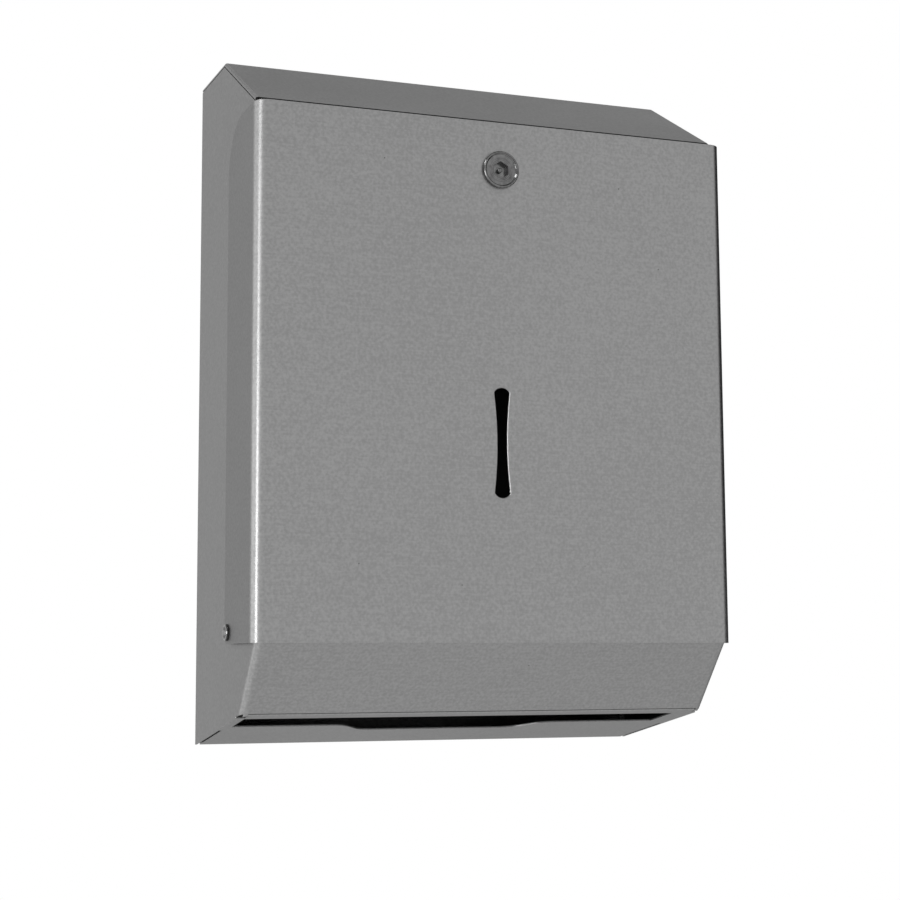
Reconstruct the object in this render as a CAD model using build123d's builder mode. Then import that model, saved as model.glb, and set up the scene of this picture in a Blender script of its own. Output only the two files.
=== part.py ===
from build123d import *
import math
import os

# Wall-mounted dispenser for folded paper towels, in satin stainless sheet.
# Millimetres. The wall is the plane Y = 0, the front faces -Y and +Z is up.
# The origin is the centre of the four wall holes, on the wall.

# Body shell
body_width = 270.0
body_height = 385.0
overall_depth = 136.0
sheet = 1.0
body_bend = 5.0
ridge_fall = 1.2
slope_run = 79.2
slope_drop = 45.4
top_fold = 1.9
lip_setback = 8.0
lip_height = 17.0
jaw_height = 56.0
chin_height = 18.3
chin_setback = 32.2
front_return = 10.0
front_rail = 12.0
weld_flange = 12.0
panel_bend = 1.6
ridge_bend = 2.5
chin_bend = 0.8
mitre_gap = 0.6
floor_side_gap = 1.6
panel_clearance = 0.2

# Wall holes
hole_centre_height = 200.0
hole_spacing_x = 160.0
hole_spacing_z = 250.0
hole_radius = 3.25

# Towel mouth in the underside
mouth_left_margin = 5.0
mouth_right_margin = 13.5
mouth_lip = 10.0
mouth_depth = 29.0
notch_depth = 18.0
notch_width = 105.0
notch_ramp = 28.0
notch_shift = -6.0
floor_tab_front = 8.0
corner_relief = 4.5
corner_notch_length = 8.5
corner_notch_height = 1.1
floor_tab_length = 42.0

# Door
door_gap = 0.8
door_side_gap = 1.3
door_bend = 7.5
door_overlap = 1.0
door_lower_edge = 0.2
flange_corner = 29.0
flange_heel = 4.5
pivot_setback = 54.2
pivot_rise = 6.1
pivot_to_edge = 5.4

# Level window in the door
window_rise = 106.8
window_height = 59.5
window_end_width = 8.8
window_waist_width = 5.4
window_cap = 2.6
window_corner = 1.2
window_chamfer = 0.4

# Pivot rivets
rivet_radius = 2.5
rivet_head_radius = 4.5
rivet_head = 1.2
rivet_head_chamfer = 0.4
rivet_dish_radius = 3.4
rivet_dish_floor = 1.3
rivet_dish_depth = 1.6
rivet_tail_radius = 4.0
rivet_tail = 1.0
running_fit = 0.05
spacer_radius = 5.5
spacer_thickness = 1.1
head_gap = 0.15
doubler_size = 24.0
doubler_thickness = 1.5
doubler_corner = 3.0
rivet_washer_radius = 5.0
rivet_washer_thickness = 0.8

# Cam lock
lock_drop = 26.7
bezel_radius = 10.3
bezel_proud = 2.1
bezel_rim = 1.0
bezel_edge = 0.4
face_seat = 1.5
face_edge = 0.25
bowl_radius = 8.5
bowl_depth = 1.0
face_dish = 1.15
barrel_radius = 8.0
barrel_across_flats = 14.0
barrel_length = 4.6
barrel_fit = 0.1
core_radius = 5.5
recess_radius = 4.8
recess_depth = 3.0
pin_radius = 1.3
pin_seat = 1.2
pin_short = 0.9
pin_chamfer = 0.3
tang_size = 7.0
lock_washer_radius = 10.5
lock_washer_thickness = 0.7
nut_across_flats = 20.0
nut_thickness = 2.5
cam_gap = 0.5
cam_thickness = 2.0
cam_width = 14.0
cam_reach = 20.0
screw_radius = 1.9
screw_wall = 0.6
screw_tip_gap = 0.2
screw_head_across_flats = 7.0
screw_head = 2.6
cam_washer_radius = 5.5
cam_washer_thickness = 0.8
strike_width = 40.0
strike_height = 9.0
strike_drop = 0.5
strike_tab = 1.8
strike_foot = 1.0
strike_corner = 1.5

# Positions that follow from the sizes
half_width = body_width / 2
inner_half = half_width - sheet
strip_half = inner_half - panel_clearance
floor_half = inner_half - floor_side_gap
bottom_z = -hole_centre_height
top_z = bottom_z + body_height
body_depth = overall_depth - sheet - door_gap
ridge_y = -(body_depth - slope_run)
chin_y = -(body_depth - chin_setback)
ridge_z = top_z - ridge_fall
brow_z = ridge_z - slope_drop
jaw_z = bottom_z + jaw_height
chin_z = bottom_z + chin_height
slope_rate = slope_drop / slope_run
lip_y = -(body_depth - lip_setback)
lip_top_z = brow_z + slope_rate * lip_setback
lip_bottom_z = lip_top_z - lip_height

wall_bottom = (0, bottom_z)
chin = (chin_y, chin_z)
jaw = (-body_depth, jaw_z)
ridge = (ridge_y, ridge_z)
lip_top = (lip_y, lip_top_z)
wall_top = (0, top_z)

slope_angle = math.atan2(slope_drop, slope_run)
top_angle = math.atan2(ridge_fall, -ridge_y)


def lowered_outline(depth, front_y):
    """The slope and top lines moved inward by a depth: their front end, ridge and wall end."""
    share = depth / (1 + math.cos(slope_angle - top_angle))
    front_z = brow_z + slope_rate * (front_y + body_depth) - depth / math.cos(slope_angle)
    lowered_ridge = (ridge_y + share * (math.sin(slope_angle) + math.sin(top_angle)),
                     ridge_z - share * (math.cos(slope_angle) + math.cos(top_angle)))
    return [(front_y, front_z), lowered_ridge, (0, top_z - depth / math.cos(top_angle))]


# The side sheets stop below the top sheet's rounded folds, with an open line between them
side_outline = [wall_bottom, chin, jaw, *lowered_outline(top_fold + mitre_gap, -body_depth)]

# The underside rises from the wall edge to the chin. Its sketch plane has x along X and
# y towards the wall, so a point at distance s from the wall edge is at y = -s.
floor_length = math.hypot(chin_y, chin_height)
floor_rise = chin_height / floor_length
floor_run = -chin_y / floor_length
floor_plane = Plane(origin=(0, 0, bottom_z), x_dir=(1, 0, 0), z_dir=(0, floor_rise, floor_run))

# The lower front leans forward from the chin to the jaw. Its plane faces inward.
front_length = math.hypot(chin_setback, jaw_height - chin_height)
front_lean = chin_setback / front_length
front_climb = (jaw_height - chin_height) / front_length
lower_front_plane = Plane(
    origin=(0, chin_y, chin_z), x_dir=(1, 0, 0), z_dir=(0, front_climb, front_lean)
)

door_half = half_width + door_side_gap + sheet
door_top_z = brow_z + door_overlap
door_bottom_z = jaw_z - door_lower_edge
door_height = door_top_z - door_bottom_z
pivot_y = -overall_depth + pivot_setback
pivot_z = door_bottom_z + pivot_rise
flange_rear_y = pivot_y + pivot_to_edge
lock_z = door_top_z - lock_drop
window_z = door_bottom_z + window_rise

# Stations of the lock along Y, from the door's outer face towards the wall
door_face_y = -overall_depth
barrel_end_y = door_face_y + barrel_length
cam_front_y = barrel_end_y + cam_gap
cam_rear_y = cam_front_y + cam_thickness
recess_floor_y = door_face_y - bezel_proud + face_dish + recess_depth
screw_bore = cam_rear_y - recess_floor_y - pin_seat - screw_wall
strike_front_y = cam_front_y - cam_gap - strike_tab


def lock_plane(y):
    """A sketch plane square to the lock's axis at the given Y, facing the front."""
    return Plane(origin=(0, y, lock_z), x_dir=(1, 0, 0), z_dir=(0, -1, 0))


def pivot_plane(side, x):
    """A sketch plane square to the door's axis at the given distance, facing outward."""
    return Plane(origin=(side * x, pivot_y, pivot_z), x_dir=(0, 1, 0), z_dir=(side, 0, 0))


os.makedirs("parts", exist_ok=True)

# Both sides and the lower front are one folded sheet, open at the back, top and underside.
with BuildPart() as side_wrap:
    with BuildSketch(Plane.YZ):
        Polygon(*side_outline, align=None)
    extrude(amount=half_width, both=True)
    corner_edges = side_wrap.edges().filter_by(
        lambda edge: abs(edge.center().X) > half_width - sheet and edge.center().Y < chin_y
        and edge.center().Z < (brow_z + jaw_z) / 2 + sheet and edge.center().Z > chin_z + sheet
    )
    fillet(corner_edges, radius=body_bend)
    by_height = side_wrap.faces().sort_by(Axis.Z)
    rear_face = side_wrap.faces().sort_by(Axis.Y)[-1]
    offset(amount=-sheet, openings=[by_height[0], by_height[-1], by_height[-2], rear_face])
    # Door opening, with a folded return at each side and a rail below
    with BuildSketch(Plane.XZ.offset(body_depth + sheet)):
        with Locations((0, jaw_z + front_rail)):
            Rectangle(2 * (half_width - front_return), body_height, align=(Align.CENTER, Align.MIN))
    extrude(amount=-(sheet + body_bend), mode=Mode.SUBTRACT)
    # The lower front stands on the floor sheet
    with BuildSketch(floor_plane):
        with Locations((0, -floor_length)):
            Rectangle(2 * (half_width - corner_relief + panel_clearance), 2 * floor_tab_front)
    extrude(amount=sheet, mode=Mode.SUBTRACT)
    # Small notch at the lower corner of each side
    with BuildSketch(floor_plane):
        with Locations((0, -floor_length)):
            Rectangle(2 * body_width, 2 * corner_notch_length)
            Rectangle(2 * (inner_half - corner_notch_height), 2 * corner_notch_length,
                      mode=Mode.SUBTRACT)
    extrude(amount=corner_notch_height, mode=Mode.SUBTRACT)
    for side in (-1, 1):
        with BuildSketch(pivot_plane(side, half_width)):
            Circle(rivet_radius + running_fit)
        extrude(amount=-sheet, mode=Mode.SUBTRACT)
side_wrap.part.label = "side_wrap"
export_step(side_wrap.part, "parts/side_wrap.step")

# Back sheet between the sides, with a fold forward along each side and four wall holes
with BuildPart() as back_panel:
    back_low_z = bottom_z + sheet * (1 + floor_rise) / floor_run + panel_clearance
    back_high_z = top_z - sheet - panel_clearance
    with BuildSketch(Plane.XZ):
        with Locations((0, (back_low_z + back_high_z) / 2)):
            Rectangle(2 * inner_half, back_high_z - back_low_z)
        with GridLocations(hole_spacing_x, hole_spacing_z, 2, 2):
            Circle(hole_radius, mode=Mode.SUBTRACT)
    extrude(amount=sheet)
    flange_low_z = back_low_z + weld_flange
    flange_high_z = back_high_z - weld_flange
    for side in (-1, 1):
        with BuildSketch(Plane.YZ.offset(side * inner_half)):
            with Locations((-(sheet + weld_flange) / 2, (flange_low_z + flange_high_z) / 2)):
                Rectangle(sheet + weld_flange, flange_high_z - flange_low_z)
        extrude(amount=-side * sheet)
back_panel.part.label = "back_panel"
export_step(back_panel.part, "parts/back_panel.step")

# Top sheet: flat top, slope and strike lip, rounded down at each side, with a fold down the back.
# A strip under each side lies against the inside of the side sheet and is welded to it.
with BuildPart() as top_panel:
    with BuildSketch(Plane.YZ) as top_profile:
        Polygon((0, lip_bottom_z), (lip_y, lip_bottom_z), lip_top, ridge, wall_top, align=None)
        bend_points = top_profile.vertices().filter_by(
            lambda point: point.Y > lip_bottom_z + sheet and point.X < -sheet
        )
        fillet(bend_points, radius=ridge_bend)
    extrude(amount=half_width, both=True)
    side_edges = top_panel.edges().filter_by(
        lambda edge: abs(edge.center().X) > inner_half and edge.center().Y < -sheet
        and edge.center().Z > lip_top_z - ridge_bend
    )
    fillet(side_edges, radius=panel_bend)
    top_rear = top_panel.faces().sort_by(Axis.Y)[-1]
    offset(amount=-sheet, openings=[top_panel.faces().sort_by(Axis.Z)[0], top_rear])
    for side in (-1, 1):
        with BuildSketch(Plane.YZ.offset(side * half_width)):
            Polygon((0, lip_bottom_z), (lip_y, lip_bottom_z), *lowered_outline(top_fold, lip_y), align=None)
        extrude(amount=-side * (half_width - strip_half), mode=Mode.SUBTRACT)
        with BuildSketch(Plane.YZ.offset(side * strip_half)):
            add(top_profile.sketch_local)
            Polygon((0, lip_bottom_z), (lip_y, lip_bottom_z), (lip_y, lip_top_z - weld_flange),
                    (ridge_y, ridge_z - weld_flange), (0, top_z - weld_flange), align=None,
                    mode=Mode.SUBTRACT)
        extrude(amount=-side * sheet)
    # Room for the back sheet, and the fold in front of it
    with BuildSketch(Plane.YZ):
        with Locations((0, lip_bottom_z)):
            Rectangle(2 * sheet, top_z - sheet - panel_clearance / 2 - lip_bottom_z,
                      align=(Align.MAX, Align.MIN))
    extrude(amount=inner_half, both=True, mode=Mode.SUBTRACT)
    with BuildSketch(Plane.YZ):
        with Locations((-sheet, top_z - sheet)):
            Rectangle(sheet, weld_flange, align=(Align.MAX, Align.MAX))
    extrude(amount=strip_half - 2 * sheet, both=True)
top_panel.part.label = "top_panel"
export_step(top_panel.part, "parts/top_panel.step")

# Keeper that the lock's cam turns behind: a tab in front of the strike lip, welded on by its foot
with BuildPart() as strike_plate:
    with BuildSketch(Plane.XZ.offset(-strike_front_y)):
        with Locations((0, lip_bottom_z - strike_drop + strike_height / 2)):
            RectangleRounded(strike_width, strike_height, strike_corner)
    extrude(amount=-strike_tab)
    # Step back to the lip, and a foot welded on the lip
    web_top_z = lip_bottom_z - strike_drop + strike_height
    with BuildSketch(Plane.XZ.offset(-strike_front_y)):
        with Locations((0, web_top_z)):
            Rectangle(strike_width - 2 * strike_corner, strike_foot, align=(Align.CENTER, Align.MAX))
    extrude(amount=-(lip_y - strike_front_y))
    with BuildSketch(Plane.XZ.offset(-(lip_y - strike_foot))):
        with Locations((0, web_top_z)):
            Rectangle(strike_width - 2 * strike_corner, lip_top_z - web_top_z - ridge_bend - strike_foot,
                      align=(Align.CENTER, Align.MIN))
    extrude(amount=-strike_foot)
strike_plate.part.label = "strike_plate"
export_step(strike_plate.part, "parts/strike_plate.step")

# Floor sheet with the towel mouth. Its middle is cut deeper so that fingers reach the towel.
mouth_front = -(floor_length - mouth_lip)
mouth_rear = mouth_front + mouth_depth
notch_rear = mouth_rear + notch_depth
mouth_left = -(half_width - mouth_left_margin)
mouth_right = half_width - mouth_right_margin
notch_left = notch_shift - notch_width / 2
notch_right = notch_shift + notch_width / 2
with BuildPart() as bottom_panel:
    with BuildSketch(floor_plane):
        with BuildLine():
            relief_y = -(floor_length - floor_tab_front)
            tab_y = relief_y + floor_tab_length
            chin_half = half_width - corner_relief
            Polyline(
                (-floor_half, 0), (-floor_half, tab_y), (-inner_half, tab_y), (-inner_half, relief_y),
                (-chin_half, relief_y), (-chin_half, -floor_length), (chin_half, -floor_length),
                (chin_half, relief_y), (inner_half, relief_y), (inner_half, tab_y), (floor_half, tab_y),
                (floor_half, 0), close=True,
            )
        make_face()
        with BuildLine():
            ramp = notch_ramp / 2
            Polyline((mouth_right, mouth_rear), (mouth_right, mouth_front), (mouth_left, mouth_front),
                     (mouth_left, mouth_rear))
            Line((mouth_left, mouth_rear), (notch_left - ramp, mouth_rear))
            Bezier((notch_left - ramp, mouth_rear), (notch_left, mouth_rear),
                   (notch_left, notch_rear), (notch_left + ramp, notch_rear))
            Line((notch_left + ramp, notch_rear), (notch_right - ramp, notch_rear))
            Bezier((notch_right - ramp, notch_rear), (notch_right, notch_rear),
                   (notch_right, mouth_rear), (notch_right + ramp, mouth_rear))
            Line((notch_right + ramp, mouth_rear), (mouth_right, mouth_rear))
        make_face(mode=Mode.SUBTRACT)
    extrude(amount=sheet)
    fillet(bottom_panel.edges().filter_by(Axis.X).sort_by(Axis.Y)[0], radius=chin_bend)
    # Fold up behind the lower front
    with BuildSketch(lower_front_plane.offset(sheet)):
        Rectangle(2 * (chin_half - body_bend), weld_flange, align=(Align.CENTER, Align.MAX))
    extrude(amount=sheet)
    # Fold up behind the back sheet
    with BuildSketch(Plane.XZ.offset(sheet)):
        with Locations((0, bottom_z + sheet / 2)):
            Rectangle(2 * (floor_half - sheet), weld_flange, align=(Align.CENTER, Align.MIN))
    extrude(amount=sheet)
bottom_panel.part.label = "bottom_panel"
export_step(bottom_panel.part, "parts/bottom_panel.step")

# Door: a front face with a wide bend into a flange at each side
with BuildPart() as door:
    with BuildSketch(Plane.XY.offset(door_bottom_z)):
        with Locations((0, door_face_y)):
            Rectangle(2 * door_half, flange_rear_y - door_face_y, align=(Align.CENTER, Align.MIN))
    extrude(amount=door_height)
    fillet(door.edges().filter_by(Axis.Z).group_by(Axis.Y)[0], radius=door_bend)
    door_rear = door.faces().sort_by(Axis.Y)[-1]
    door_ends = door.faces().filter_by(Plane.XY)
    offset(amount=-sheet, openings=[door_rear, *door_ends])
    rear_edges = door.edges().filter_by(Axis.X).group_by(Axis.Y)[-1].group_by(Axis.Z)
    fillet(rear_edges[-1], radius=flange_corner)
    fillet(rear_edges[0], radius=flange_heel)
    # Level window
    with BuildSketch(Plane(origin=(0, door_face_y, window_z), x_dir=(1, 0, 0), z_dir=(0, -1, 0))):
        with BuildLine():
            end_x = window_end_width / 2
            end_z = window_height / 2 - window_cap
            ThreePointArc((end_x, -end_z), (window_waist_width / 2, 0), (end_x, end_z))
            ThreePointArc((end_x, end_z), (0, window_height / 2), (-end_x, end_z))
            ThreePointArc((-end_x, end_z), (-window_waist_width / 2, 0), (-end_x, -end_z))
            ThreePointArc((-end_x, -end_z), (0, -window_height / 2), (end_x, -end_z))
        window = make_face()
        fillet(window.vertices(), window_corner)
    extrude(amount=-sheet, mode=Mode.SUBTRACT)
    window_edges = door.faces().sort_by(Axis.Y)[0].inner_wires()[0].edges()
    chamfer(window_edges, window_chamfer)
    # Lock hole with two flats
    with BuildSketch(lock_plane(door_face_y)):
        Circle(barrel_radius + barrel_fit)
        Rectangle(barrel_across_flats + 2 * barrel_fit, 2 * (barrel_radius + barrel_fit),
                  mode=Mode.INTERSECT)
    extrude(amount=-sheet, mode=Mode.SUBTRACT)
    for side in (-1, 1):
        with BuildSketch(pivot_plane(side, door_half)):
            Circle(rivet_radius + running_fit)
        extrude(amount=-sheet, mode=Mode.SUBTRACT)
door.part.label = "door"
export_step(door.part, "parts/door.step")

# Pivots: each rivet passes the door flange, spacer, body side, doubler and washer
for side, hand in ((-1, "left"), (1, "right")):
    with BuildPart() as hinge_doubler:
        with BuildSketch(pivot_plane(side, inner_half)):
            RectangleRounded(doubler_size, doubler_size, doubler_corner)
            Circle(rivet_radius + running_fit, mode=Mode.SUBTRACT)
        extrude(amount=-doubler_thickness)
    hinge_doubler.part.label = "hinge_doubler_" + hand
    export_step(hinge_doubler.part, "parts/hinge_doubler_" + hand + ".step")

    with BuildPart() as rivet_washer:
        with BuildSketch(pivot_plane(side, inner_half - doubler_thickness)):
            Circle(rivet_washer_radius)
            Circle(rivet_radius + running_fit, mode=Mode.SUBTRACT)
        extrude(amount=-rivet_washer_thickness)
    rivet_washer.part.label = "rivet_washer_" + hand
    export_step(rivet_washer.part, "parts/rivet_washer_" + hand + ".step")

    with BuildPart() as hinge_spacer:
        with BuildSketch(pivot_plane(side, half_width)):
            Circle(spacer_radius)
            Circle(rivet_radius + running_fit, mode=Mode.SUBTRACT)
        extrude(amount=spacer_thickness)
    hinge_spacer.part.label = "hinge_spacer_" + hand
    export_step(hinge_spacer.part, "parts/hinge_spacer_" + hand + ".step")

    with BuildPart() as hinge_rivet:
        head_x = door_half + head_gap
        tail_x = inner_half - doubler_thickness - rivet_washer_thickness
        with BuildSketch(pivot_plane(side, head_x)):
            Circle(rivet_head_radius)
        extrude(amount=rivet_head)
        with BuildSketch(pivot_plane(side, tail_x)):
            Circle(rivet_radius)
        extrude(amount=head_x - tail_x)
        with BuildSketch(pivot_plane(side, tail_x)):
            Circle(rivet_tail_radius)
        extrude(amount=-rivet_tail)
        head_faces = hinge_rivet.faces().sort_by(Axis.X)
        head_face = head_faces[-1] if side > 0 else head_faces[0]
        chamfer(head_face.edges(), rivet_head_chamfer)
        with BuildSketch(pivot_plane(side, head_x + rivet_head)):
            Circle(rivet_dish_radius)
        with BuildSketch(pivot_plane(side, head_x + rivet_head - rivet_dish_depth)):
            Circle(rivet_dish_floor)
        loft(mode=Mode.SUBTRACT)
    hinge_rivet.part.label = "hinge_rivet_" + hand
    export_step(hinge_rivet.part, "parts/hinge_rivet_" + hand + ".step")

# Lock housing: a bezel on the door's face and a barrel with two flats through it
with BuildPart() as lock_housing:
    with BuildSketch(lock_plane(door_face_y)):
        Circle(bezel_radius)
    extrude(amount=bezel_proud)
    chamfer(lock_housing.edges().group_by(Axis.Y)[0], bezel_edge)
    with BuildSketch(lock_plane(door_face_y)):
        Circle(barrel_radius)
        Rectangle(barrel_across_flats, 2 * barrel_radius, mode=Mode.INTERSECT)
    extrude(amount=-barrel_length)
    with BuildSketch(lock_plane(door_face_y - bezel_proud)):
        Circle(bezel_radius - bezel_rim)
    extrude(amount=-face_seat, mode=Mode.SUBTRACT)
    with BuildSketch(lock_plane(door_face_y - bezel_proud)):
        Circle(core_radius + running_fit)
    extrude(amount=-(bezel_proud + barrel_length), mode=Mode.SUBTRACT)
lock_housing.part.label = "lock_housing"
export_step(lock_housing.part, "parts/lock_housing.step")

# Turning core: a dished face with a six-sided key recess, a shank and a square tang
with BuildPart() as lock_core:
    face_y = door_face_y - bezel_proud
    seat_y = face_y + face_seat
    face_radius = bezel_radius - bezel_rim - running_fit
    core_axis = Axis((0, 0, lock_z), (0, 1, 0))
    with BuildSketch(Plane(origin=(0, 0, lock_z), x_dir=(1, 0, 0), z_dir=(0, 0, 1))):
        Polygon(
            (0, face_y + face_dish), (recess_radius, face_y + face_dish),
            (bowl_radius, face_y + bowl_depth),
            (face_radius, face_y + face_edge), (face_radius, seat_y),
            (core_radius, seat_y), (core_radius, cam_front_y), (0, cam_front_y), align=None,
        )
    revolve(axis=core_axis)
    with BuildSketch(lock_plane(cam_front_y)):
        Rectangle(tang_size, tang_size)
    extrude(amount=-cam_thickness)
    with BuildSketch(lock_plane(face_y)):
        RegularPolygon(recess_radius, 6, rotation=90)
    extrude(amount=-(face_dish + recess_depth), mode=Mode.SUBTRACT)
    with BuildSketch(lock_plane(recess_floor_y)):
        Circle(pin_radius + running_fit)
    extrude(amount=-pin_seat, mode=Mode.SUBTRACT)
    with BuildSketch(lock_plane(cam_rear_y)):
        Circle(screw_radius + running_fit)
    extrude(amount=screw_bore, mode=Mode.SUBTRACT)
lock_core.part.label = "lock_core"
export_step(lock_core.part, "parts/lock_core.step")

# Guard pin in the key recess
with BuildPart() as lock_pin:
    with BuildSketch(lock_plane(recess_floor_y + pin_seat)):
        Circle(pin_radius)
    extrude(amount=pin_seat + recess_depth - pin_short)
    chamfer(lock_pin.edges().group_by(Axis.Y)[0], pin_chamfer)
lock_pin.part.label = "lock_pin"
export_step(lock_pin.part, "parts/lock_pin.step")

# Washer and nut that clamp the housing to the door
with BuildPart() as lock_washer:
    with BuildSketch(lock_plane(door_face_y + sheet)):
        Circle(lock_washer_radius)
        Circle(barrel_radius + barrel_fit, mode=Mode.SUBTRACT)
    extrude(amount=-lock_washer_thickness)
lock_washer.part.label = "lock_washer"
export_step(lock_washer.part, "parts/lock_washer.step")

with BuildPart() as lock_nut:
    nut_corner_radius = nut_across_flats / math.sqrt(3)
    with BuildSketch(lock_plane(door_face_y + sheet + lock_washer_thickness)):
        RegularPolygon(nut_corner_radius, 6)
        Circle(barrel_radius + running_fit, mode=Mode.SUBTRACT)
    extrude(amount=-nut_thickness)
lock_nut.part.label = "lock_nut"
export_step(lock_nut.part, "parts/lock_nut.step")

# Cam on the core's tang. At rest it points sideways, clear of the strike.
with BuildPart() as lock_cam:
    with BuildSketch(lock_plane(cam_front_y)):
        Circle(cam_width / 2)
        with Locations((cam_reach - cam_width / 2, 0)):
            Circle(cam_width / 2)
        with Locations(((cam_reach - cam_width / 2) / 2, 0)):
            Rectangle(cam_reach - cam_width / 2, cam_width)
        Rectangle(tang_size + 2 * running_fit, tang_size + 2 * running_fit, mode=Mode.SUBTRACT)
    extrude(amount=-cam_thickness)
lock_cam.part.label = "lock_cam"
export_step(lock_cam.part, "parts/lock_cam.step")

with BuildPart() as cam_washer:
    with BuildSketch(lock_plane(cam_rear_y)):
        Circle(cam_washer_radius)
        Circle(screw_radius + running_fit, mode=Mode.SUBTRACT)
    extrude(amount=-cam_washer_thickness)
cam_washer.part.label = "cam_washer"
export_step(cam_washer.part, "parts/cam_washer.step")

with BuildPart() as cam_screw:
    with BuildSketch(lock_plane(cam_rear_y + cam_washer_thickness)):
        RegularPolygon(screw_head_across_flats / math.sqrt(3), 6)
    extrude(amount=-screw_head)
    with BuildSketch(lock_plane(cam_rear_y + cam_washer_thickness)):
        Circle(screw_radius)
    extrude(amount=cam_washer_thickness + screw_bore - screw_tip_gap)
cam_screw.part.label = "cam_screw"
export_step(cam_screw.part, "parts/cam_screw.step")
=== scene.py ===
import math

import bmesh
import bpy
from mathutils import Matrix, Vector


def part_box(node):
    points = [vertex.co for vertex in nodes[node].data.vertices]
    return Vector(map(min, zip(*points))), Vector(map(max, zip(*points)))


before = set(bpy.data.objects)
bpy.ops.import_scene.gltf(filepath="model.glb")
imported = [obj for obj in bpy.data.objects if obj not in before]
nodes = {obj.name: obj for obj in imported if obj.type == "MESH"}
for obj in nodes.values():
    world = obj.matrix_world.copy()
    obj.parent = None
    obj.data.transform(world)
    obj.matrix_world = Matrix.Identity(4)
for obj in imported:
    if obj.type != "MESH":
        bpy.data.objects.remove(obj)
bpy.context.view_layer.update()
print("dispenser loaded:", len(nodes), "pieces")


# small helpers for the node trees

noiseSpan = (0.3, 0.7)   # most values of a noise texture lie between these
bevelSamples = 4


def addNode(tree, kind, inputs=None, **settings):
    node = tree.nodes.new("ShaderNode" + kind)
    for name, value in settings.items():
        setattr(node, name, value)
    for key, value in (inputs or {}).items():
        if isinstance(value, bpy.types.NodeSocket):
            tree.links.new(value, node.inputs[key])
        else:
            node.inputs[key].default_value = value
    return node.outputs[0]


def newMaterial(name):
    material = bpy.data.materials.new(name)
    material.use_nodes = True
    material.node_tree.nodes.clear()
    return material, material.node_tree


def finishMaterial(tree, shader):
    output = tree.nodes.new("ShaderNodeOutputMaterial")
    tree.links.new(shader, output.inputs["Surface"])


def objectPlace(tree):
    return addNode(tree, "TexCoord").node.outputs["Object"]


def axesOf(tree, vector):
    return addNode(tree, "SeparateXYZ", {"Vector": vector}).node.outputs


def calc(tree, operation, *values):
    return addNode(tree, "Math", dict(enumerate(values)), operation=operation)


def vectorCalc(tree, operation, *values):
    return addNode(tree, "VectorMath", dict(enumerate(values)), operation=operation)


def measure(tree, operation, *vectors):
    # a length or a dot product, as a number
    return vectorCalc(tree, operation, *vectors).node.outputs["Value"]


def remap(tree, value, low, high, toLow, toHigh):
    inputs = {"Value": value, "From Min": low, "From Max": high, "To Min": toLow, "To Max": toHigh}
    return addNode(tree, "MapRange", inputs, interpolation_type="SMOOTHSTEP")


def noise(tree, place, scale, detail):
    return addNode(tree, "TexNoise", {"Vector": place, "Scale": scale, "Detail": detail})


def weigh(tree, patterns, shares):
    # the patterns added up, each times its share
    total = 0.0
    for name, share in shares.items():
        total = calc(tree, "MULTIPLY_ADD", patterns[name], share, total)
    return total


def grey(value):
    return (value, value, value, 1.0)


def twoTone(tree, factor, dark, light):
    ramp = addNode(tree, "ValToRGB", {"Fac": factor}).node
    ramp.color_ramp.elements[0].color = dark
    ramp.color_ramp.elements[1].color = light
    return ramp.outputs["Color"]


def blendColour(tree, factor, first, second):
    # sockets 6 and 7 take the two colours and output 2 gives the mix
    mix = addNode(tree, "Mix", {0: factor, 6: first, 7: second}, data_type="RGBA").node
    return mix.outputs[2]


def roundEdges(tree, radius):
    return addNode(tree, "Bevel", {"Radius": radius}, samples=bevelSamples)


def bump(tree, height, distance, normal=None):
    inputs = {"Height": height, "Strength": 1.0, "Distance": distance}
    if normal is not None:
        inputs["Normal"] = normal
    return addNode(tree, "Bump", inputs)


# satin stainless sheet: a fine even mottle over faint horizontal brushing

satinSteel = {
    "dark": 0.290,
    "light": 0.372,
    "toneShares": {"clouds": 0.2, "grain": 0.25, "mottle": 0.55},
    "toneSpan": (0.32, 0.68),           # the pattern's values that turn dark and light
    "paintedEdgeHighlight": 0.46,                  # painted highlight: edges are coloured bright
    "edgeFrom": (0.995, 0.80),          # how far the rounded normal turns: none, full
    "edgeRound": 0.00035,
    "speck": 0.13,
    "speckCells": 210,
    "speckRarity": 0.985,               # only cells above this have a speck
    "speckRadius": 0.075,
    "roughness": (0.34, 0.42),
    "roughShares": {"grain": 0.6, "clouds": 0.4},
    "brushing": 0.72,                   # how far highlights stretch across the grain
    "acrossWay": (0.0, -0.02, 1.0),     # the way that they stretch
    "grainLength": 55,                  # noise cells per metre along the grain
    "grainFineness": 1100,              # and across it
    "grainDetail": 3.0,
    "mottle": (620, 2.5),               # noise scale and detail
    "clouds": (7, 2.0),
    "seedWay": (1.0, 1.7, 0.6),
    "bump": 0.00002,
    "bumpShares": {"mottle": 0.4, "grain": 0.6},
    "waviness": 0.0006,
    "insideFrom": (0.00045, 0.0008),    # depths under the outer face where the inside begins and is full
    "insidePaintedShade": 0.30,                # painted shade inside the body, where little light gets in; the roughness below gives its dull mill finish
    "insideRoughness": 0.62,
}

# painted shade on the bend of the strike lip: a dark line above the door, where the gap over the door lies
# in shade
lipPaintedShade = {
    "reach": 0.0004,                    # how far it goes above the lip's top edge
    "fade": 0.0002,
    "depth": (0.0016, 0.0022),          # behind the lip's front: full, none
    "shade": 0.04,
}

# the case seen from the side, in metres from its front, its bottom and its top
caseProfile = {
    "chinSetback": 0.0322,
    "chinHeight": 0.0183,
    "jawHeight": 0.056,
    "slopeRun": 0.0792,
    "slopeDrop": 0.0454,
    "ridgeFall": 0.0012,
    "openEnd": 0.026,                   # how far an outline goes past a sheet's free edge
}

wrapLow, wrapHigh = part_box("side_wrap")
topLow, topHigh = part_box("top_panel")
doorLow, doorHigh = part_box("door")

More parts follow.
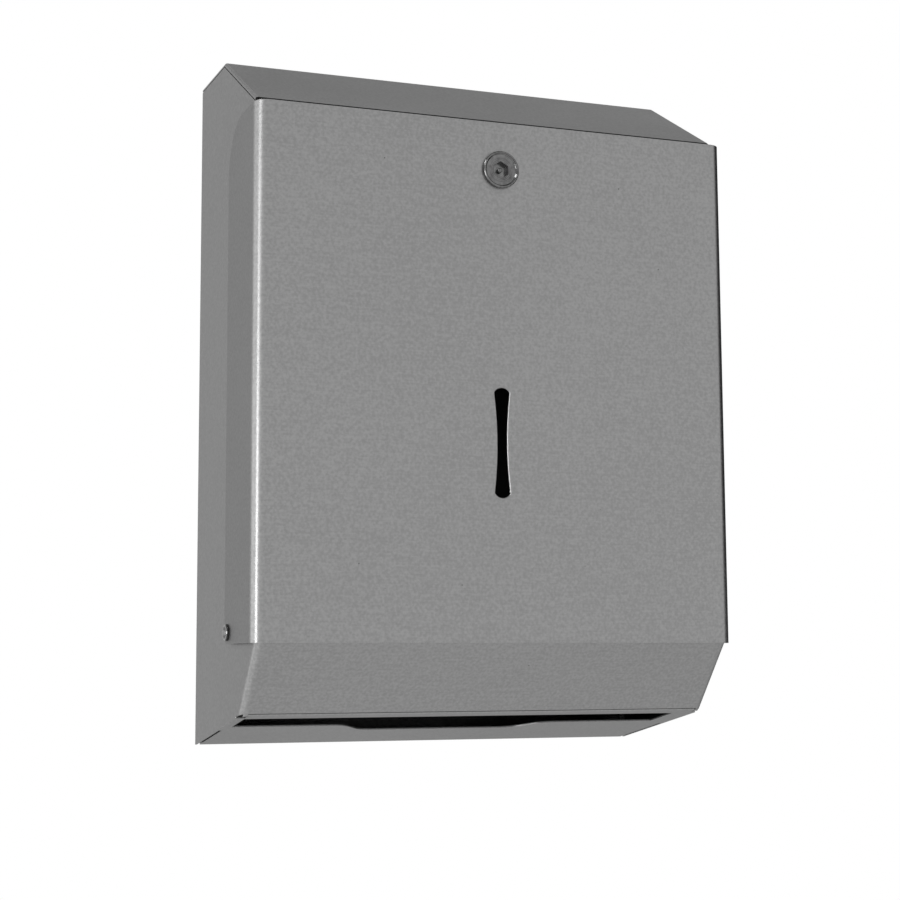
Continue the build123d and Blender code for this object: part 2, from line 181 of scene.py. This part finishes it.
# corners of the outer faces, as y and z
wallBottom = (0.0, wrapLow.z)
wallTop = (0.0, topHigh.z)
chin = (wrapLow.y + caseProfile["chinSetback"], wrapLow.z + caseProfile["chinHeight"])
jaw = (wrapLow.y, wrapLow.z + caseProfile["jawHeight"])
ridge = (wrapLow.y + caseProfile["slopeRun"], topHigh.z - caseProfile["ridgeFall"])
brow = (wrapLow.y, ridge[1] - caseProfile["slopeDrop"])
slopeRate = caseProfile["slopeDrop"] / caseProfile["slopeRun"]
lipTop = (topLow.y, brow[1] + slopeRate * (topLow.y - brow[0]))
lipFoot = topLow.z - caseProfile["openEnd"]
doorFoot = doorLow.z - caseProfile["openEnd"]
doorHead = doorHigh.z + caseProfile["openEnd"]

# across: the axes that run over the grain, edgeTint: how bright the steel stays when seen edge-on,
# bend: the outer radius at the sides, outline: the outer faces from the wall over the front to the top
# shade: painted shade, each piece's copy of the same steel darkened to its own tone under these lamps

doorSheet = {
    "across": "Z",
    "seed": 0.0,
    "shade": 0.93,
    "edgeTint": 0.46,
    "halfWidth": doorHigh.x,
    "bend": 0.0075,
    "outline": [(0.0, doorFoot), (doorLow.y, doorFoot), (doorLow.y, doorHead), (0.0, doorHead)],
}

wrapSheet = {
    "across": "Z",
    "seed": 3.1,
    "shade": 0.92,
    "edgeTint": 0.55,
    "halfWidth": wrapHigh.x,
    "bend": 0.005,
    "outline": [wallBottom, chin, jaw, brow, ridge, wallTop],
}

topSheet = {
    "across": "YZ",
    "seed": 5.7,
    "shade": 1.0,
    "edgeTint": 0.55,
    "halfWidth": topHigh.x,
    "bend": 0.0016,
    "outline": [(0.0, lipFoot), (topLow.y, lipFoot), lipTop, ridge, wallTop],
    "lipShade": lipPaintedShade,
}

floorSheet = dict(wrapSheet, across="YZ", seed=8.3, shade=0.95, bend=0.0011)
backSheet = dict(wrapSheet, seed=11.9, shade=1.0)


def insideMask(tree, place, sheet):
    # 1 on faces that look into the case, 0 on its outer faces
    outline = sheet["outline"]
    fromSide = calc(tree, "SUBTRACT", sheet["halfWidth"], calc(tree, "ABSOLUTE", axesOf(tree, place)["X"]))
    fromFront = 1.0   # deeper than any face
    for (startY, startZ), (endY, endZ) in zip(outline, outline[1:] + outline[:1]):
        length = math.hypot(endY - startY, endZ - startZ)
        inward = (0.0, (endZ - startZ) / length, (startY - endY) / length)
        offset = startY * inward[1] + startZ * inward[2]
        depth = calc(tree, "SUBTRACT", measure(tree, "DOT_PRODUCT", place, inward), offset)
        fromFront = calc(tree, "MINIMUM", fromFront, depth)
    # the outer face is round where the sides bend
    corner = addNode(tree, "CombineXYZ", {
        "X": calc(tree, "MAXIMUM", calc(tree, "SUBTRACT", sheet["bend"], fromSide), 0.0),
        "Y": calc(tree, "MAXIMUM", calc(tree, "SUBTRACT", sheet["bend"], fromFront), 0.0),
    })
    depth = calc(tree, "SUBTRACT", sheet["bend"], measure(tree, "LENGTH", corner))
    return remap(tree, depth, *satinSteel["insideFrom"], 0.0, 1.0)


def speckMask(tree, place):
    cells = addNode(tree, "TexVoronoi", {"Vector": place, "Scale": satinSteel["speckCells"]}).node.outputs
    chance = addNode(tree, "SeparateColor", {"Color": cells["Color"]})
    isRare = calc(tree, "GREATER_THAN", chance, satinSteel["speckRarity"])
    isCore = calc(tree, "LESS_THAN", cells["Distance"], satinSteel["speckRadius"])
    return calc(tree, "MULTIPLY", isRare, isCore)


def edgeHighlightMask(tree, rounded):
    normal = addNode(tree, "NewGeometry").node.outputs["Normal"]
    facing = measure(tree, "DOT_PRODUCT", rounded, normal)
    return remap(tree, facing, *satinSteel["edgeFrom"], 0.0, 1.0)


# painted shade: darkens the strike lip's bend just above the door
def paintedLipShade(tree, place, lipShade):
    axes = axesOf(tree, place)
    reach = lipTop[1] + lipShade["reach"]
    full, none = (lipTop[0] + depth for depth in lipShade["depth"])
    low = remap(tree, axes["Z"], reach - lipShade["fade"], reach + lipShade["fade"], 1.0, 0.0)
    atFront = remap(tree, axes["Y"], full, none, 1.0, 0.0)
    return remap(tree, calc(tree, "MULTIPLY", low, atFront), 0.0, 1.0, 1.0, lipShade["shade"])


def makeSatinSteel(name, sheet):
    steel = satinSteel
    material, tree = newMaterial(name)
    place = objectPlace(tree)
    rounded = roundEdges(tree, steel["edgeRound"])
    shifted = vectorCalc(tree, "ADD", place, [sheet["seed"] * part for part in steel["seedWay"]])
    stretch = [steel["grainFineness"] if axis in sheet["across"] else steel["grainLength"] for axis in "XYZ"]
    patterns = {
        "grain": noise(tree, vectorCalc(tree, "MULTIPLY", shifted, stretch), 1.0, steel["grainDetail"]),
        "mottle": noise(tree, shifted, *steel["mottle"]),
        "clouds": noise(tree, shifted, *steel["clouds"]),
    }
    tone = remap(tree, weigh(tree, patterns, steel["toneShares"]), *steel["toneSpan"], 0.0, 1.0)
    colour = twoTone(tree, tone, grey(steel["dark"]), grey(steel["light"]))
    # painted highlight along the edges
    colour = blendColour(tree, edgeHighlightMask(tree, rounded), colour, grey(steel["paintedEdgeHighlight"]))
    colour = blendColour(tree, speckMask(tree, shifted), colour, grey(steel["speck"]))
    inside = insideMask(tree, place, sheet)
    # painted shade: the inside, each piece's own shade and the lip's dark line darken the colour
    shade = remap(tree, inside, 0.0, 1.0, sheet["shade"], steel["insidePaintedShade"])
    if "lipShade" in sheet:
        shade = calc(tree, "MULTIPLY", shade, paintedLipShade(tree, place, sheet["lipShade"]))
    colour = addNode(tree, "VectorMath", {0: colour, 3: shade}, operation="SCALE")
    rough = remap(tree, weigh(tree, patterns, steel["roughShares"]), *noiseSpan, *steel["roughness"])
    rough = remap(tree, inside, 0.0, 1.0, rough, steel["insideRoughness"])
    waves = bump(tree, patterns["clouds"], steel["waviness"], rounded)
    relief = bump(tree, weigh(tree, patterns, steel["bumpShares"]), steel["bump"], waves)
    acrossGrain = addNode(tree, "VectorTransform", {"Vector": steel["acrossWay"]},
                          vector_type="VECTOR", convert_from="OBJECT", convert_to="WORLD")
    shader = addNode(tree, "BsdfPrincipled", {
        "Base Color": colour, "Metallic": 1.0, "Roughness": rough, "Specular Tint": grey(sheet["edgeTint"]),
        "Anisotropic": steel["brushing"], "Tangent": acrossGrain, "Normal": relief,
    })
    finishMaterial(tree, shader)
    return material


# turned metal: fine rings round an axis, for the lock and the rivets

turnedMarks = {
    "ringDetail": 2.0,
    "blotch": (330, 3.0),
    "toneShares": {"blotch": 0.5, "rings": 0.5},
}

# painted reflection: the chrome's colour is kept dark to stand in for the dark surroundings it reflects
lockChrome = {
    "dark": 0.08,
    "light": 0.21,
    "roughness": (0.10, 0.20),
    "rings": 2600,
    "bump": 0.00004,
    "edgeRound": 0.00025,
}

rivetSteel = {
    "dark": 0.10,
    "light": 0.19,
    "roughness": (0.14, 0.26),
    "rings": 3200,
    "bump": 0.00003,
    "edgeRound": 0.0002,
}


def makeTurnedMetal(name, metal, centre, flatten):
    # flatten: 0 on the turning axis, 1 on the others
    material, tree = newMaterial(name)
    place = objectPlace(tree)
    fromCentre = vectorCalc(tree, "SUBTRACT", place, tuple(centre))
    radius = measure(tree, "LENGTH", vectorCalc(tree, "MULTIPLY", fromCentre, flatten))
    ringNoise = {"W": radius, "Scale": metal["rings"], "Detail": turnedMarks["ringDetail"]}
    rings = addNode(tree, "TexNoise", ringNoise, noise_dimensions="1D")
    blotch = noise(tree, place, *turnedMarks["blotch"])
    tone = weigh(tree, {"rings": rings, "blotch": blotch}, turnedMarks["toneShares"])
    tone = remap(tree, tone, *noiseSpan, 0.0, 1.0)
    shader = addNode(tree, "BsdfPrincipled", {
        "Base Color": twoTone(tree, tone, grey(metal["dark"]), grey(metal["light"])), "Metallic": 1.0,
        "Roughness": remap(tree, blotch, *noiseSpan, *metal["roughness"]),
        "Normal": bump(tree, rings, metal["bump"], roundEdges(tree, metal["edgeRound"])),
    })
    finishMaterial(tree, shader)
    return material


# zinc plating: pale, with soft crystal patches

zincPlate = {
    "dark": (0.40, 0.41, 0.43, 1.0),
    "light": (0.58, 0.59, 0.60, 1.0),
    "toneShares": {"haze": 0.4, "patches": 0.6},
    "patches": 420,
    "haze": (900, 3.0),
    "roughness": (0.26, 0.42),
    "bump": 0.00003,
    "edgeRound": 0.0002,
}


def makeZinc():
    zinc = zincPlate
    material, tree = newMaterial("zincPlate")
    place = objectPlace(tree)
    patches = addNode(tree, "TexVoronoi", {"Vector": place, "Scale": zinc["patches"]}, feature="SMOOTH_F1")
    haze = noise(tree, place, *zinc["haze"])
    tone = weigh(tree, {"patches": patches, "haze": haze}, zinc["toneShares"])
    shader = addNode(tree, "BsdfPrincipled", {
        "Base Color": twoTone(tree, tone, zinc["dark"], zinc["light"]), "Metallic": 1.0,
        "Roughness": remap(tree, haze, *noiseSpan, *zinc["roughness"]),
        "Normal": bump(tree, haze, zinc["bump"], roundEdges(tree, zinc["edgeRound"])),
    })
    finishMaterial(tree, shader)
    return material


# natural nylon for the hinge spacers

spacerNylon = {
    "dark": (0.66, 0.66, 0.63, 1.0),
    "light": (0.76, 0.76, 0.73, 1.0),
    "haze": (600, 4.0),
    "roughness": (0.42, 0.55),
    "bump": 0.00003,
}


def makeNylon():
    nylon = spacerNylon
    material, tree = newMaterial("spacerNylon")
    haze = noise(tree, objectPlace(tree), *nylon["haze"])
    shader = addNode(tree, "BsdfPrincipled", {
        "Base Color": twoTone(tree, haze, nylon["dark"], nylon["light"]),
        "Roughness": remap(tree, haze, *noiseSpan, *nylon["roughness"]),
        "Normal": bump(tree, haze, nylon["bump"]),
    })
    finishMaterial(tree, shader)
    return material


def dress(material, *names):
    for name in names:
        slots = nodes[name].data.materials
        slots.clear()
        slots.append(material)


def boxCentre(name):
    low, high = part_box(name)
    return (low + high) / 2


lockAxis = boxCentre("lock_core")
pivotAxis = boxCentre("hinge_rivet_left")

dress(makeSatinSteel("satinDoor", doorSheet), "door")
dress(makeSatinSteel("satinWrap", wrapSheet), "side_wrap")
dress(makeSatinSteel("satinTop", topSheet), "top_panel")
dress(makeSatinSteel("satinFloor", floorSheet), "bottom_panel")
dress(makeSatinSteel("satinBack", backSheet),
      "back_panel", "strike_plate", "hinge_doubler_left", "hinge_doubler_right")
dress(makeTurnedMetal("lockChrome", lockChrome, lockAxis, (1, 0, 1)), "lock_housing", "lock_core")
dress(makeTurnedMetal("guardPin", rivetSteel, lockAxis, (1, 0, 1)), "lock_pin")
dress(makeTurnedMetal("rivetSteel", rivetSteel, pivotAxis, (0, 1, 1)),
      "hinge_rivet_left", "hinge_rivet_right", "rivet_washer_left", "rivet_washer_right")
dress(makeZinc(), "lock_washer", "lock_nut", "lock_cam", "cam_washer", "cam_screw")
dress(makeNylon(), "hinge_spacer_left", "hinge_spacer_right")
print("finishes on all pieces")


# the camera stands low and to the left of the dispenser

cameraPlace = {
    "location": (-0.3765, -1.0549, -0.1560),
    "yaw": 20.2628,                     # turns in degrees
    "pitch": 7.1507,
    "roll": -0.2557,
    "lens": 74.45,                      # millimetres, as the sensor
    "sensor": 36.0,
    "shift": (0.0138, -0.0199),         # shares of the picture's width
}


def makeCamera():
    yaw, pitch, roll = (math.radians(cameraPlace[turn]) for turn in ("yaw", "pitch", "roll"))
    forward = Vector((math.sin(yaw) * math.cos(pitch), math.cos(yaw) * math.cos(pitch), math.sin(pitch)))
    level = Vector((math.cos(yaw), -math.sin(yaw), 0.0))
    rise = level.cross(forward)
    right = math.cos(roll) * level + math.sin(roll) * rise
    up = math.cos(roll) * rise - math.sin(roll) * level
    data = bpy.data.cameras.new("camera")
    data.lens = cameraPlace["lens"]
    data.sensor_width = cameraPlace["sensor"]
    data.shift_x, data.shift_y = cameraPlace["shift"]
    camera = bpy.data.objects.new("camera", data)
    turned = Matrix((right, up, -forward)).transposed().to_4x4()
    camera.matrix_world = Matrix.Translation(cameraPlace["location"]) @ turned
    bpy.context.scene.collection.objects.link(camera)
    bpy.context.scene.camera = camera


makeCamera()
print("camera placed")


# studio: pale floor far below, white surroundings that go greyer overhead, a dark card at the right

studio = {
    "floorHeight": -0.75,
    "floorSides": 96,
    "floorColour": 0.90,
    "floorSolid": 2.2,                  # the floor fades into the surroundings beyond this
    "floorFade": 3.6,
    "floorShown": 0.45,                 # share of plain white in the floor that camera and metal see
    "skyLow": 1.0,
    "skyHigh": 0.62,
    "skyStart": 0.20,                   # sine of the height where the grey begins
    "skyEnd": 0.75,
    "rightCard": (0.95, 0.31, 0.0),     # the way to the card, behind the right side
    "cardShade": 0.05,
    "cardSpread": (0.70, 0.86),         # cosines of its soft edge
}

fillPanel = {
    "place": (-1.63, 0.42, -0.10),
    "aim": (-0.13, -0.13, 0.0),
    "size": (1.30, 1.50),
    "power": 5.4,
}

softBox = {
    "place": (-1.75, -0.62, -0.16),
    "aim": (-0.13, -0.13, -0.02),
    "size": (0.42, 0.75),
    "power": 9.0,
}

lockGlint = {
    "place": (-1.11, -0.54, 1.04),
    "aim": (0.0, -0.136, 0.113),
    "size": (0.26, 0.40),
    "power": 3.6,
}


def makeSurroundings():
    world = bpy.data.worlds.new("surroundings")
    bpy.context.scene.world = world
    world.use_nodes = True
    tree = world.node_tree
    tree.nodes.clear()
    direction = addNode(tree, "TexCoord").node.outputs["Generated"]
    height = axesOf(tree, direction)["Z"]
    sky = remap(tree, height, studio["skyStart"], studio["skyEnd"], studio["skyLow"], studio["skyHigh"])
    toCard = measure(tree, "DOT_PRODUCT", direction, studio["rightCard"])
    card = remap(tree, toCard, *studio["cardSpread"], 1.0, studio["cardShade"])
    seen = addNode(tree, "LightPath").node.outputs["Is Camera Ray"]
    strength = calc(tree, "MAXIMUM", seen, calc(tree, "MULTIPLY", sky, card))
    background = addNode(tree, "Background", {"Color": grey(1.0), "Strength": strength})
    output = tree.nodes.new("ShaderNodeOutputWorld")
    tree.links.new(background, output.inputs["Surface"])


def makeFloor():
    shape = bmesh.new()
    bmesh.ops.create_circle(shape, cap_ends=True, segments=studio["floorSides"], radius=studio["floorFade"])
    mesh = bpy.data.meshes.new("floor")
    shape.to_mesh(mesh)
    shape.free()
    floor = bpy.data.objects.new("floor", mesh)
    floor.location.z = studio["floorHeight"]
    bpy.context.scene.collection.objects.link(floor)
    material, tree = newMaterial("paleFloor")
    distance = measure(tree, "LENGTH", objectPlace(tree))
    gone = remap(tree, distance, studio["floorSolid"], studio["floorFade"], 0.0, 1.0)
    paint = addNode(tree, "BsdfDiffuse", {"Color": grey(studio["floorColour"])})
    rays = addNode(tree, "LightPath").node.outputs
    shown = calc(tree, "MAXIMUM", rays["Is Camera Ray"], rays["Is Glossy Ray"])
    whiteShare = calc(tree, "MULTIPLY", shown, studio["floorShown"])
    white = addNode(tree, "Emission", {"Color": grey(1.0), "Strength": 1.0})
    paint = addNode(tree, "MixShader", {0: whiteShare, 1: paint, 2: white})
    clear = addNode(tree, "BsdfTransparent")
    finishMaterial(tree, addNode(tree, "MixShader", {0: gone, 1: paint, 2: clear}))
    mesh.materials.append(material)


def makeLamp(name, panel):
    data = bpy.data.lights.new(name, "AREA")
    data.shape = "RECTANGLE"
    data.size, data.size_y = panel["size"]
    data.energy = panel["power"]
    lamp = bpy.data.objects.new(name, data)
    lamp.location = panel["place"]
    away = Vector(panel["place"]) - Vector(panel["aim"])
    lamp.rotation_euler = away.to_track_quat("Z", "Y").to_euler()
    lamp.visible_camera = False
    bpy.context.scene.collection.objects.link(lamp)


makeSurroundings()
makeFloor()
makeLamp("fillPanel", fillPanel)
makeLamp("softBox", softBox)
makeLamp("lockGlint", lockGlint)
bpy.context.scene.view_settings.view_transform = "Standard"
print("studio ready")
